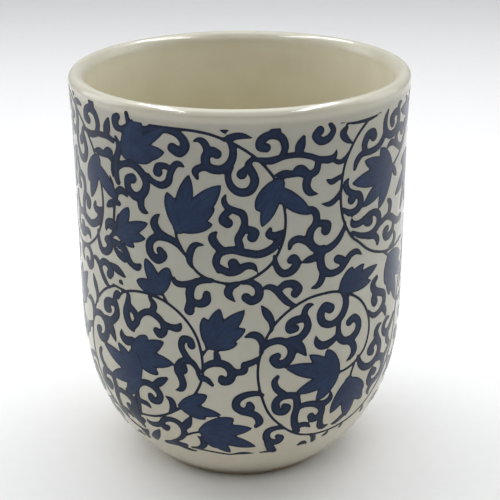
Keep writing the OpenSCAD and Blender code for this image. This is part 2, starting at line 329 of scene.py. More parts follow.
    [(-26.4, 52.2, 1.8), (-24.8, 51, 1.8), (-24.4, 49.2, 1.8), (-25.8, 47.5, 1.7)],
    [(-24.4, 49.4, 1.5), (-22.9, 51.4, 1.5), (-20.8, 52.3, 1.7), (-18.7, 51.5, 1.7), (-17.3, 50.3, 1.6),
     (-15.4, 49.8, 1.6), (-13.9, 49.9, 1.8), (-13.2, 51, .5)],
    [(-20.3, 52.4, 1.6), (-19.6, 54.1, 1.7), (-20.7, 55.8, .8)],
    [(-17.6, 50.3, 1.5), (-17.2, 48.7, 1.8), (-18.3, 47.7, 2.1), (-19.2, 48.3, 1.7)],
    [(-10.9, 46.2, 1.9), (-11.3, 47.4, 1.7), (-12.8, 47.4, 1.7), (-13.2, 45.5, 1.6), (-12.2, 43.5, 1.6),
     (-11.2, 42.4, 1.4)],
    [(-9.6, 39.3, .8), (-9.9, 41, 1.2), (-11.3, 42.4, 1.6), (-13.3, 42, 1.8), (-14.3, 40, 1.9),
     (-13.5, 38, 1.8), (-13.2, 36.4, 1.8), (-13.8, 35.1, 1.4), (-15.2, 34.6, .2)],
    [(-14, 39.7, 1.6), (-12.9, 40, 1.9), (-12.8, 41, 1.4)],
    [(-26, 44.2, 1.8), (-27.8, 43.6, 2.3), (-29.2, 44.4, 1.7), (-29.3, 46, .2)],
    [(-26.4, 30.5, .9), (-25.5, 33, 1.5), (-23.5, 34.5, 1.7), (-21, 34.2, 1.9), (-19.4, 32.4, 1.9),
     (-20.1, 30.5, 1.9), (-21.8, 30.3, 2.1), (-22, 31.2, 1.9)],
    [(-20.6, 34.5, 1.7), (-18.9, 35.9, 2.1), (-17.2, 37.1, .9)],
    [(-17.8, 32.3, .4), (-16.5, 31.4, 1.7), (-16.4, 29.6, 1.7), (-17.3, 27.9, .9)],
    [(-27, 29.2, 1.2), (-25, 28.7, 1.5), (-23.6, 28.5, 1.4), (-22.7, 27.5, .3)],
    [(-26.3, 32, 1.6), (-26.5, 28, 1.5), (-27, 24.4, 1)],
    [(-29.4, 30, 2), (-28.6, 27, 1.8), (-29.6, 24, 2.2), (-28.6, 21.6, 2.3), (-27, 22.4, 1.8)],
    # Under the lower left circle
    [(-20.8, 23.4, 1.6), (-19.6, 25.1, 1.6), (-17.3, 25.8, 1.6), (-15.4, 25, 1.8), (-14.6, 23, 1.8),
     (-15.3, 20.9, 1.4), (-17, 19.2, 1.1), (-19.2, 17.9, .7)],
    [(-21, 23.3, 1.6), (-19.9, 22.4, 2.1), (-19, 23, 1.4)],
    [(-20.8, 23.4, 1.6), (-23, 22.4, 1.6), (-24.7, 22.4, 1.4), (-25.4, 23.4, .3)],
    [(-14.2, 24.3, 1.9), (-13.2, 25.6, 2.2), (-12.1, 27.7, .7)],
    [(-25.6, 16.8, 2.2), (-24, 18.6, 2.2), (-22.2, 20.9, .5)],
    [(-28.4, 17, 1.2), (-27.6, 18.2, 1.3), (-27, 19, .3)],
    [(-21.6, 16.6, 1.3), (-18.5, 17.2, 1.9), (-15.3, 17.5, 1.4)],
    [(-17.4, 16.8, 1.2), (-14.8, 15.9, 1.1), (-12.7, 15.6, .5)],
    [(-11.2, 21.8, .3), (-10, 20.6, 1.8), (-10.1, 18.7, 1.9), (-11.6, 17.3, 1.2), (-13.8, 17, .6)],
    [(-12.5, 16.9, .5), (-8.5, 16.4, .6), (-4, 15.7, .6), (-1.6, 15.9, .5)],
    [(-2.8, 15.9, .3), (0, 16.3, 1), (2.9, 16.2, .3)],
    [(4.3, 16.3, .3), (7, 16.5, .9), (9.4, 16.4, .3)],
    # Between the two lower circles
    [(-9, 38.7, 1.5), (-7.7, 38.3, 1.5), (-6.5, 37.1, .9)],
    [(-8.7, 40.2, .7), (-7.6, 41.8, 1.5), (-5.4, 42.6, 1.8), (-3.2, 42, 1.9), (-2.2, 40.2, 2),
     (-2.7, 38.6, 2.1), (-4.1, 38.2, 2.1), (-4.4, 39, 1.5)],
    [(-5.3, 42.4, 1.6), (-5.3, 44, 1.6), (-5.6, 45, 1)],
    [(-3, 41.6, 1.6), (-1.2, 40.5, 1.6), (.4, 40.8, 1.7), (.8, 42.2, 1.6), (2.3, 42.8, 1.5),
     (3.7, 43.8, .9)],
    [(.3, 42, 1.2), (.2, 42.8, .5)],
    [(4.6, 34.6, .8), (3, 35.1, 1.4), (.6, 34.7, 1.7), (-1.1, 33.4, 1.9), (-1.3, 31.6, 2), (0, 30.4, 2),
     (1.6, 29.9, 1.9), (3.2, 29, 1.9), (4, 27.2, 1.9), (3.2, 25.9, 1.1)],
    [(.9, 30.5, 1.9), (1.8, 31.3, 2.2), (1.6, 32.3, 1.6)],
    [(10, 24.5, .8), (8, 24.8, 1.5), (6.2, 24, 1.9), (5.9, 22, 2), (6.9, 20.5, 2.1), (8.7, 20, 2.1),
     (9.5, 21.2, 2.1), (8.7, 22, 1.5)],
    [(5.9, 20.6, 1.2), (6.9, 18.7, 2.1), (7.7, 17.2, 2.3), (8.6, 16.3, 1)],
    [(4.2, 56, .3), (5.4, 54, 1.9), (6.4, 52, 1.5), (6.4, 50, .8)],
    [(.5, 48.7, .3), (2.3, 49.3, 1.6), (3.8, 48.6, 1.8), (4.4, 46.9, 1.4), (4.2, 45, 1)],
    # Inside the lower right circle
    [(4.4, 45.8, 1), (5.8, 47.1, 1.6), (8.2, 47.5, 1.7), (10.3, 46.3, 1.9), (10.9, 44.3, 2),
     (9.9, 42.4, 2.1), (8, 41.9, 2.1), (6.9, 43.2, 2.1), (7.7, 43.9, 1.7)],
    [(11, 46.8, 2), (12.6, 45.4, 2.5), (14.4, 42.9, .3)],
    [(16.1, 54.8, .2), (14.5, 54.6, 1.4), (13.7, 53, 1.5), (14.4, 51.2, 1.7), (14.4, 49.4, 1.9),
     (12.8, 47.6, 1.9), (10.4, 47.2, 1.8)],
    [(13.6, 51.8, 1.5), (12.2, 51.9, 1.9), (10.6, 51.2, 2), (10.5, 49.9, 2.1), (11.7, 49.9, 1.8)],
    [(23, 56.4, 1.3), (24.1, 54.6, 1.7), (24.1, 52.3, 1.9), (22.8, 50.2, 1.9), (20.5, 49.2, 1.7),
     (18.3, 50, 1.9), (17.6, 52, 2), (18.6, 53.7, 2.1), (20, 53, 2.4)],
    [(22.6, 50, 1.4), (22.3, 47.6, 1.4), (22.6, 45.6, 1.9), (24, 44.3, 1.9), (26, 44.2, 2), (28, 45.6, 2),
     (28.2, 47.6, 1.9), (26.8, 49, 1.9), (25.4, 48.4, 2)],
    [(22.5, 46.6, 1), (20.6, 45.1, 1.7), (18.3, 44.6, 2), (16.9, 45.6, 1.7), (16.5, 47.4, .2)],
    [(25, 44.3, 1.7), (26.6, 42.8, 1.9), (27.1, 41, 1.9), (26.2, 39.7, 1.2), (24.7, 38.9, .2)],
    [(7.8, 38.9, 1), (7.1, 37.6, 1.5), (7.7, 35.8, 1.7), (9.2, 34.4, 1.7)],
    [(12.6, 33.4, 1.5), (10.5, 33.8, 1.8), (8.4, 33.4, 1.9), (7.5, 31.8, 2), (8, 30, 2.1),
     (9.6, 29.5, 2.1), (10.3, 30.6, 1.9), (9.5, 31.2, 1.3)],
    [(10.5, 33.9, 1.5), (12.2, 33, 1.8), (12.7, 30.5, 1.9), (12.3, 27.5, 1.9), (12.8, 24.6, 1.9),
     (13.8, 22.7, 1.5)],
    [(12.8, 30.1, 1.5), (15, 30.5, 1.6), (17.6, 29.9, 1.8), (19.4, 28, 1.9), (18.8, 26, 2.1),
     (17.3, 25.6, 2), (16.6, 26.8, 1.9)],
    [(17.5, 29.9, 1.7), (19.8, 29.6, 2), (21.2, 30.5, 1.7), (21.2, 32.3, .4)],
    [(19.5, 27.5, 1.8), (19.6, 25, 1.6), (19.9, 23, 1.9), (21, 21.9, 1.5), (22.9, 22.2, .2)],
    [(13, 24.3, 1.7), (14.6, 24.6, 1.7), (16, 24.2, 1.3), (17.2, 23, .2)],
    [(23.6, 21.8, .3), (25.2, 22, 1.4), (27.4, 23.6, 1.7)],
    # Outside and below the lower right circle
    [(17.9, 20.4, .8), (19, 19.2, 1.4), (19.5, 17.7, 1.6)],
    [(15.1, 17.3, .7), (16.3, 17.8, 1.5), (17.5, 17.2, .7)],
    [(22.2, 18.2, .4), (23.3, 18.7, 1.2), (23.6, 19.6, .3)],
    [(28.3, 20.5, .6), (28, 19.1, .9)],
    [(34.4, 56.1, 1.2), (33, 54.9, 2), (33.8, 53.2, 2), (36, 52.1, 1.8), (37.9, 51, 1.8), (38.1, 49, 1.8),
     (36.2, 47.5, 1.5), (33.6, 47.3, 1.4), (31.5, 49, .8)],
    [(34.6, 52.6, 1.7), (33.6, 51.4, 2.3), (34, 50.4, 2.3)],
    [(37, 48.1, 1.5), (38.6, 47, 1.8), (39.2, 45.6, 1.1)],
    [(28.6, 39, .9), (29.6, 36.8, 1.7), (31.6, 35.2, 1.9), (34.2, 35, 2), (36.5, 36.3, 2.1),
     (37, 38.7, 2), (35.8, 40.8, 2), (35, 42.5, 1.9), (35.8, 43.8, 1.4), (37.6, 44.1, .2)],
    [(35.4, 40.9, 1.7), (33.9, 40, 2.1), (33, 38.9, 2.4), (33.9, 38.2, 1.8)],
    [(36.2, 35.6, 1.8), (38.8, 35, 1.9), (40.3, 33, 2), (39.8, 30.6, 2), (37.8, 29.4, 2), (35.4, 29.4, 2),
     (34.2, 31, 2), (34.9, 32.8, 2), (36.3, 32.1, 2)],
    [(36.4, 29, 1.8), (35.3, 27.4, 1.6), (36.2, 25.7, .3)],
    [(41.6, 44, .5), (40, 44.1, 1.4), (38.6, 43, 1.7), (38.8, 41.4, 1.9), (40.4, 40.6, 1.9),
     (42.6, 41.7, 1.8), (44.6, 43.6, 1.2)],
    [(40.8, 40.2, 1.8), (41.3, 38.2, 1.8), (42.8, 37, 1.1), (42, 35.6, 1.5), (40.4, 34.4, 1.5)],
    # Right of what the front shows, up to where the artwork repeats
    [(47.2, 93.6, 1), (49.4, 92, 1.8), (50.6, 89.6, 1.9), (49.4, 87.4, 1.7), (47.4, 88, 2.1)],
    [(44.4, 27.4, 1.2), (46, 29, 1.8), (45.4, 31.4, 1.8), (43.4, 32, 1.2)],
    [(40.2, 21.4, .6), (42.4, 22.6, 1.7), (44.8, 21.6, 1.8), (46.4, 19.6, 1.8), (48.6, 19.4, 1.9),
     (49.4, 21.2, 2)],
    [(35.4, 22.6, .9), (36.2, 20.8, 1.2)],
    [(47.6, 31.6, 1.8), (49.8, 33.4, 1.9), (50.4, 36, 1.9), (48.8, 37.8, 2), (47.6, 36.6, 2)],
    # Odd ends of motifs at the lap, where the sheet was trimmed
    [(-30.4, 69.6, .7), (-30, 72.5, .75), (-29.7, 75, .8)],
    [(-29.4, 69.8, .7), (-29, 71.6, .2)],
    [(-32.2, 73.8, .8), (-31.1, 74.6, 1.7), (-29.6, 75.3, 1.4), (-28.3, 75.3, 1.3)],
    [(-30.9, 80.9, .3), (-30.2, 79.5, .8), (-29.8, 77.4, .9), (-29.5, 75.6, 1.3), (-28.9, 77, 1.2)],
    [(-29.4, 57.1, .4), (-28.8, 57.3, 1.1), (-28.3, 56.8, .4)],
    [(-31.5, 55.9, .6), (-29.8, 55.7, .6), (-27.6, 55.6, .5)],
    [(-29.8, 68.3, 1), (-31.2, 67.4, 1.1), (-32.3, 65.9, .9)],
    # Past the long bow, out of the photo's sight
    [(46.6, 46.8, .8), (48.6, 45.9, 1.5), (51.2, 46.1, 1.7), (53.8, 45, 1.9), (55.3, 42.7, 2),
     (54.5, 40.6, 2), (52.4, 40.2, 2), (51.2, 41.8, 2.2)],
    [(53.9, 45.2, 1.5), (55.9, 46.3, 1.4), (57.4, 48.3, .3)],
    [(51.4, 25, .9), (52.3, 27.1, 1.5), (51.5, 29.3, 1.8), (49.5, 29.7, 1.9), (48.4, 28.3, 2.1)],
    [(56.1, 91.8, .4), (56.6, 89.9, 1.3), (58.4, 89, 1.6), (60.4, 89.9, 1.8), (60.6, 91.9, 1.9),
     (59, 92.6, 2)],
    [(55.8, 78.6, .3), (57.3, 79.4, 1.3), (58.2, 81, 1)],
]

# Blooms: the foot, and the petals' tips with their widths
BLOOMS = [
    ((-25.2, 87), [(-21.5, 94.6, 4.4), (-14.6, 94.2, 2.2), (-15.8, 88.5, 3.2), (-18.7, 86.4, 2.6)]),
    ((-29.2, 68.5), [(-25.4, 75.1, 2.6), (-20.3, 72.6, 2.5), (-21.1, 69, 2.4), (-24.1, 66.4, 1.9)]),
    ((-13, 72.7), [(-15.6, 80.1, 2.8), (-10.6, 84.3, 3.2), (-4, 82.4, 3.9), (-5.3, 77.4, 3),
                   (-5.8, 74, 2.6)]),
    ((7.9, 82.4), [(3.3, 77.1, 3.6), (4.3, 73.4, 2.8)]),
    ((7.2, 81.2), [(14.8, 75.2, 3)]),
    ((39, 79.8), [(34.1, 85.6, 3), (28.6, 84.1, 3.1), (25.1, 79.9, 3.5), (28.4, 74, 3.1), (34.2, 72.2, 3)]),
    ((55, 79), [(45.6, 79.4, 3), (42.1, 72.8, 3), (46.5, 68.2, 2.8), (52, 68.4, 2.6)]),
    ((53, 90), [(43.2, 91.8, 2.6), (47, 86.4, 2.4)]),
    ((-18.2, 57.7), [(-24, 58.9, 2.7), (-21.4, 64.6, 2.7), (-15.7, 63.4, 2.9)]),
    ((-25.8, 41), [(-21.8, 46.4, 3.1), (-17.4, 46, 3), (-15.2, 41.1, 3.2), (-19.2, 37.6, 2.8)]),
    ((-14, 30.4), [(-7.8, 34.4, 2.8), (-4.8, 29.2, 2.4), (-8.4, 27.7, 2.3)]),
    ((-9.4, 23.8), [(-2, 28.3, 3.6), (2.3, 25.3, 3.3), (3.4, 18.9, 3.3), (-3.2, 16.6, 3.1),
                    (-6.9, 18.1, 2.7)]),
    ((-6.9, 46.7), [(-8.1, 53.1, 2.5), (-4.6, 55.3, 3), (.7, 55, 3.1), (.9, 50.7, 2.9), (-.9, 47.3, 2.5)]),
    ((23, 56.6), [(26, 61.1, 2.5), (29.6, 60.9, 2.5), (34.5, 59.2, 2.5), (32.2, 56.2, 2.3)]),
    ((22.2, 37), [(19.4, 43.4, 2.9), (15, 43.1, 2.6), (9.3, 41.1, 3.2), (12, 34, 3), (17.5, 30.8, 3)]),
    ((26.3, 33.4), [(22.3, 25.8, 3.2), (28.4, 22.7, 3.8), (32.9, 26.1, 3.1), (32.6, 29.2, 2.8)]),
    ((40, 59), [(38.6, 52.9, 2.8), (41, 49.5, 3.1), (45.6, 46.4, 3.1), (50, 51.8, 3.3), (48.4, 57, 3)]),
]
# A petal's outline: (share of its length, share of its width)
PETAL_SHAPE = [(0, .6), (.25, .95), (.48, 1), (.68, .86), (.86, .5), (1, .05)]
PETAL_FULLNESS = 1.2  # every petal is drawn this much wider than its number
STROKE_SHIFT = 7.3    # sets the ink's grain off from one stroke to the next
THINNEST = .1         # no stroke is drawn thinner than this
REACH = 1.2           # how far round a stroke its distance is kept
NO_INK = 9.0          # the distance kept where no stroke is near


def smooth_line(points, spacing):
    """Points on a smooth curve through the given ones, with their widths, about spacing apart."""
    pts = np.array(points, float)
    pts = np.vstack([2 * pts[0] - pts[1], pts, 2 * pts[-1] - pts[-2]])
    out = []
    for a, b, c, d in zip(pts, pts[1:], pts[2:], pts[3:]):
        count = max(2, int(np.hypot(*(c - b)[:2]) / spacing) + 1)
        t = np.linspace(0, 1, count, endpoint=False)[:, None]
        out.append(.5 * (2 * b + (c - a) * t + (2 * a - 5 * b + 4 * c - d) * t ** 2
                         + (3 * b - a - 3 * c + d) * t ** 3))
    return np.vstack(out + [pts[-2]])


def petal(foot, tip):
    """A pointed petal from a bloom's foot to its tip, as a stroke."""
    (u0, s0), (u1, s1, width) = foot, tip
    full = PETAL_FULLNESS * width
    return [(u0 + (u1 - u0) * t, s0 + (s1 - s0) * t, full * w) for t, w in PETAL_SHAPE]


class Artwork:
    """Ink on a flat grid, kept as the signed distance to its edge: below zero is ink."""

    def __init__(self):
        self.u = np.arange(SHEET_LEFT, SHEET_RIGHT + GRID, GRID)
        self.s = np.arange(BAND_LOW, BAND_HIGH + GRID, GRID)
        size = (len(self.u), len(self.s))
        self.field = np.full(size, NO_INK)
        self.petals = np.full(size, NO_INK)  # the same distance, for the petals only
        self.across = np.zeros(size)         # how far each place is from the middle of its stroke
        self.along = np.zeros(size)          # and how far along the stroke it is
        self.strokes = 0

    def draw(self, points, is_petal=False):
        """Draws a stroke as discs along its middle."""
        line = smooth_line(points, PACE)
        ahead = np.gradient(line[:, :2], axis=0)
        ahead /= np.maximum(np.hypot(*ahead.T), 1e-6)[:, None]
        self.strokes += 1
        run = STROKE_SHIFT * self.strokes
        for (u, s, width), (du, ds) in zip(line, ahead):
            run += PACE
            r = max(width, THINNEST) / 2
            i0, i1 = np.searchsorted(self.u, (u - r - REACH, u + r + REACH))
            j0, j1 = np.searchsorted(self.s, (s - r - REACH, s + r + REACH))
            if i0 == i1 or j0 == j1:
                continue
            place = np.s_[i0:i1, j0:j1]
            off_u, off_s = self.u[i0:i1, None] - u, self.s[None, j0:j1] - s
            gap = np.hypot(off_u, off_s) - r
            nearer = gap < self.field[place]
            self.field[place][nearer] = gap[nearer]
            self.across[place][nearer] = (off_s * du - off_u * ds)[nearer]
            self.along[place][nearer] = run
            if is_petal:
                np.minimum(self.petals[place], gap, out=self.petals[place])

    def cut(self):
        """Cuts the ink off where the sheet ends, along its right end and its upper edge."""
        end_u, end_s = np.transpose(END_CUT)
        end = np.interp(self.s, end_s, end_u + HALF_TURN)
        top = np.interp(self.u, *np.transpose(TOP_CUT))
        self.field = np.maximum(self.field, self.u[:, None] - end[None, :])
        self.field = np.maximum(self.field, self.s[None, :] - top[:, None])


def repeated(stroke):
    """A stroke where the artwork repeats: a little taller there, and leaning."""
    out = []
    for u, s, width in stroke:
        above = s - REPEAT_LEVEL
        lean = min(REPEAT_LEAN_MOST, REPEAT_LEAN * above)
        out.append((u + REPEAT + lean, s + REPEAT_GROWTH * above, width))
    return out


def draw_sheet():
    """One transfer sheet's ink: the artwork, drawn again where it repeats, and cut off at its edges."""
    art = Artwork()
    strokes = [([(u, s, VINE) for u, s in vine], False) for vine in VINES]
    strokes += [(scroll, False) for scroll in SCROLLS]
    strokes += [(petal(foot, tip), True) for foot, tips in BLOOMS for tip in tips]
    for stroke, is_petal in strokes:
        art.draw(stroke, is_petal)
        if stroke[0][0] > REPEAT_FROM:
            art.draw(repeated(stroke), is_petal)
    art.cut()
    return art


# ---- the ink as a thin shell on the wall

NEAR_CORNER = .04       # the ink's edge stays this share of a grid step off its corners
INK_RISE = .05          # how far the ink's face stands off the glaze
INK_RISE_ON_LAP = .085  # and where a sheet's end lies over the other's start
LAP_RAMP = .8           # over what length it rises to that
INK_SUNK = .03          # how far its back is sunk in the glaze
WALL_STEPS = 3000       # points at which the wall's length is measured
SLOPE_REACH = .05       # how far up and down the wall its slope is measured


class Wall:
    """Places on the glazed wall, by distance round and distance up along the surface."""

    def __init__(self):
        self.z = np.linspace(0, LIP_Z, WALL_STEPS)
        self.r = np.array([outer_r(z) for z in self.z])
        steps = np.hypot(np.diff(self.z), np.diff(self.r))
        self.s = np.concatenate([[0], np.cumsum(steps)])

    def section(self, s):
        """Height and radius at a distance up."""
        return np.array([np.interp(s, self.s, self.z), np.interp(s, self.s, self.r)])

    def at(self, u, s, lift):
        """Points on the wall, lifted off the glaze, with u in millimetres at the lip's radius."""
        z, r = self.section(s)
        up_z, up_r = self.section(s + SLOPE_REACH) - self.section(s - SLOPE_REACH)
        size = np.hypot(up_z, up_r)
        r = r + lift * up_z / size
        z = z - lift * up_r / size
        a = u / LIP_R
        return np.stack([r * np.sin(a), -r * np.cos(a), z], -1)


def ink_outline(art):
    """Flat vertices and polygons of the ink on the artwork's grid, cut at its edge.

    A vertex is its place and its ink's depth from the edge, its depth in a petal, and its grain.
    """
    values = np.stack([-art.field, -art.petals, art.across, art.along], -1)
    f = art.field
    points, index = [], {}

    def corner(a):
        if a not in index:
            index[a] = len(points)
            points.append((art.u[a[0]], art.s[a[1]], *values[a]))
        return index[a]

    def crossing(a, b):
        a, b = sorted((a, b))
        if (a, b) not in index:
            t = min(max(f[a] / (f[a] - f[b]), NEAR_CORNER), 1 - NEAR_CORNER)
            u = art.u[a[0]] + t * (art.u[b[0]] - art.u[a[0]])
            s = art.s[a[1]] + t * (art.s[b[1]] - art.s[a[1]])
            index[a, b] = len(points)
            points.append((u, s, 0, *values[a if f[a] < 0 else b][1:]))
        return index[a, b]

    inside = f < 0
    polygons = []
    busy = inside[:-1, :-1] | inside[1:, :-1] | inside[1:, 1:] | inside[:-1, 1:]
    for i, j in zip(*np.nonzero(busy)):
        ring = [(i, j), (i + 1, j), (i + 1, j + 1), (i, j + 1)]
        turns = list(zip(ring[-1:] + ring[:-1], ring, ring[1:] + ring[:1]))
        state = [inside[here] for here in ring]
        if state[0] == state[2] != state[1] == state[3]:
            polygons += [[crossing(before, here), corner(here), crossing(here, after)]
                         for before, here, after in turns if inside[here]]
            continue
        shape = []
        for _, here, after in turns:
            if inside[here]:
                shape.append(corner(here))
            if inside[here] != inside[after]:
                shape.append(crossing(here, after))
        polygons.append(shape)
    return np.array(points), polygons


def ink_shell(points, polygons, turn, wall):
    """A closed thin shell of ink on the wall: its face, its back in the glaze, and its edge."""
    count = len(points)
    lap_start = HALF_TURN + SHEET_LEFT
    lift = np.interp(points[:, 0], (lap_start - LAP_RAMP, lap_start), (INK_RISE, INK_RISE_ON_LAP))
    face = wall.at(points[:, 0], points[:, 1], lift)
    back = wall.at(points[:, 0], points[:, 1], lift - INK_RISE - INK_SUNK)
    c, s = math.cos(turn), math.sin(turn)
    spin = np.array([[c, s, 0], [-s, c, 0], [0, 0, 1]])
    vertices = np.vstack([face, back]) @ spin
    used = set()
    for p in polygons:
        used.update(zip(p, p[1:] + p[:1]))
    faces = list(polygons)
    faces += [[count + v for v in reversed(p)] for p in polygons]
    faces += [[b, a, count + a, count + b] for a, b in sorted(used) if (b, a) not in used]
    return vertices, faces


def add_ink_values(piece, points):
    """Gives the material what it can't find for itself: depth from the edge, petal, and grain."""
    both = np.vstack([points, points]).astype(np.float32)
    for name, kind, field, columns in (
            ("ink_place", "FLOAT_VECTOR", "vector", [4, 5, 0]),  # across and along its stroke, and round
            ("ink_depth", "FLOAT", "value", [2]),
            ("petal_depth", "FLOAT", "value", [3])):
        values = piece.data.attributes.new(name, kind, "POINT")
        values.data.foreach_set(field, both[:, columns].ravel())


# ---- materials

class Shading:
    """The nodes of a material or the world. A value or a colour may be fixed or come from a node."""

    def __init__(self, owner):
        owner.use_nodes = True
        self.nodes, self.links = owner.node_tree.nodes, owner.node_tree.links

    def put(self, value, socket):
        """Gives a node's socket its value."""
        if isinstance(value, float):
            socket.default_value = value
        elif isinstance(value, tuple):
            socket.default_value = (*value, 1)
        else:
            self.links.new(value, socket)

    def node(self, kind, inputs, **settings):
        """A new node with its settings, and its inputs by name or by number."""
        node = self.nodes.new("ShaderNode" + kind)
        for name, setting in settings.items():
            setattr(node, name, setting)
        for name, value in inputs.items():
            self.put(value, node.inputs[name])
        return node

    def math(self, operation, *values):
        """A sum on values."""
        return self.node("Math", dict(enumerate(values)), operation=operation).outputs[0]

    def part(self, place, axis):
        """One of the three numbers of a place."""
        return self.node("SeparateXYZ", {0: place}).outputs[axis]

    def ramp(self, value, stops, interpolation="LINEAR"):
        """Colours by a value: stops are (position, colour)."""
        node = self.node("ValToRGB", {"Fac": value})
        bar = node.color_ramp
        bar.interpolation = interpolation
        while len(bar.elements) < len(stops):
            bar.elements.new(.5)
        for element, (position, colour) in zip(bar.elements, stops):
            element.position = position
            element.color = (*colour, 1)
        return node.outputs["Color"]

    def spread(self, value, low, high, to_low=0.0, to_high=1.0):
        """A value from low..high spread over to_low..to_high, and held at its ends."""
        inputs = {"Value": value, "From Min": low, "From Max": high, "To Min": to_low, "To Max": to_high}
        return self.node("MapRange", inputs, interpolation_type="SMOOTHSTEP").outputs["Result"]

    def mixed(self, share, first, second, blend="MIX"):
        """Two colours mixed by a share."""
        inputs = {0: share, 6: first, 7: second}
        return self.node("Mix", inputs, data_type="RGBA", blend_type=blend).outputs[2]


class Look(Shading):
    """A new material with a surface shader and the place on the object, in metres."""

    def __init__(self, name, specular):
        self.material = bpy.data.materials.new(name)
        super().__init__(self.material)
        self.surface = self.nodes["Principled BSDF"].inputs
        self.put(specular, self.surface["Specular IOR Level"])
        self.place = self.node("TexCoord", {}).outputs["Object"]

    def height_share(self):
        """The height on the cup, from 0 at the foot to 1 at the lip's crest."""
        return self.math("DIVIDE", self.part(self.place, "Z"), CUP_H * MM)

    def piece_value(self, name, output="Fac"):
        """One of the values that add_ink_values gave the piece."""
        return self.node("Attribute", {}, attribute_name=name).outputs[output]

    def noise(self, size, detail, roughness=.5, place=None):
        """Soft noise from 0 to 1 with spots of about a size."""
        inputs = {"Scale": 1 / size, "Detail": detail, "Roughness": roughness}
        return self.node("TexNoise", inputs | {"Vector": place or self.place}).outputs["Fac"]

    def specks(self, size, share, radius):
        """Small round spots, scattered: 1 in a spot. A share of the cells of a size has one."""
        cells = self.node("TexVoronoi", {"Vector": self.place, "Scale": 1 / size})
        pick = self.node("SeparateColor", {0: cells.outputs["Color"]})
        chosen = self.math("LESS_THAN", pick.outputs[0], share)
        spot = self.spread(cells.outputs["Distance"], .4 * radius, radius, 1.0, 0.0)
        return self.math("MULTIPLY", spot, chosen)

    def dotted(self, colour, spots, strength, dot):
        """A colour with spots of another at a strength."""
        return self.mixed(self.math("MULTIPLY", spots, strength), colour, dot)

    def waves(self, size=.018):
        """A bump layer of soft waves. The print lies along the outer glaze's, and has the same."""
        return self.noise(size, 1.0), .0004

    def ripples(self):
        """A bump layer of the glazes' fine ripples."""
        return self.noise(.0016, 2.0), .000012

    def finish(self, colour, sheen, roughness, layers):
        """Sets the colour, a roughness between two values by sheen, and (height, distance) bumps."""
        self.put(colour, self.surface["Base Color"])
        self.put(self.spread(sheen, .3, .7, *roughness), self.surface["Roughness"])
        normal = None
        for height, distance in layers:
            inputs = {"Height": height, "Distance": distance}
            if normal:
                inputs["Normal"] = normal
            normal = self.node("Bump", inputs).outputs["Normal"]
        self.put(normal, self.surface["Normal"])
        return self.material


def outside_glaze():
    """Cream glaze with painted light by height: lighter and warmer at the foot (painted light), darker up
    the wall (painted shade), and a lighter ring at the lip (painted highlight). Faint clouds, specks and
    soft waves.
    """
    look = Look("outside_glaze", .5)
    # Cream glaze colour with painted light and shade by height: painted light low down, painted shade up
    # the wall, and a painted highlight ring at the lip
    cream_and_painted_light = look.ramp(look.height_share(), [
        (.08, (.6, .555, .435)), (.16, (.575, .535, .42)), (.3, (.52, .497, .405)),
        (.5, (.495, .482, .405)), (.78, (.42, .412, .35)), (.9, (.405, .395, .335)),
        (.965, (.44, .42, .35)), (.98, (.6, .57, .47))], "EASE")
    clouds = look.noise(.014, 4.0, .6)
    colour = look.mixed(look.spread(clouds, .35, .7), cream_and_painted_light, (.93, .94, .92), "MULTIPLY")
    mottle = look.spread(look.noise(.0022, 3.0), .5, .75, 0.0, .5)
    colour = look.mixed(mottle, colour, (.94, .96, 1.0), "MULTIPLY")
    colour = look.dotted(colour, look.specks(.0022, .05, .09), .5, (.26, .19, .1))
    pinholes = look.specks(.0035, .1, .05)
    return look.finish(colour, clouds, (.075, .13), [look.waves(), look.ripples(), (pinholes, -.00004)])


def inside_glaze():
    """Yellower glaze, poured in, with painted light by height: darker and greyer on the lip (painted
    shade), lighter under it (painted light), and darker and deeper yellow further down (painted shade).
    """
    look = Look("inside_glaze", .4)
    # Yellow glaze colour with painted light and shade by height: painted shade on the lip and low down,
    # painted light just under the lip
    yellow_and_painted_light = look.ramp(look.height_share(), [
        (.1, (.63, .58, .42)), (.5, (.665, .617, .455)), (.8, (.695, .645, .495)),
        (.87, (.77, .727, .565)), (.955, (.81, .775, .63)), (.972, (.77, .74, .6)),
        (.985, (.62, .595, .49)), (.996, (.53, .51, .42))])
    clouds = look.noise(.011, 4.0, .6)
    colour = look.mixed(look.spread(clouds, .35, .7), yellow_and_painted_light, (.95, .945, .92), "MULTIPLY")
    colour = look.dotted(colour, look.specks(.0026, .05, .08), .5, (.28, .2, .11))
    return look.finish(colour, clouds, (.14, .18), [look.waves(.015), look.ripples()])


def bare_clay():
    """Unglazed fired clay: sandy, with darker grains and a rough surface."""
    look = Look("bare_clay", .3)
    clouds = look.noise(.006, 5.0, .6)
    sand = look.ramp(clouds, [(.3, (.5, .4, .27)), (.7, (.68, .58, .43))])
    grains = look.specks(.0009, .25, .28)
    colour = look.dotted(sand, grains, .7, (.24, .17, .1))
    sand_bump = look.noise(.0006, 4.0, .7)
    return look.finish(colour, clouds, (.7, .92), [(sand_bump, .00008), (grains, .00005)])


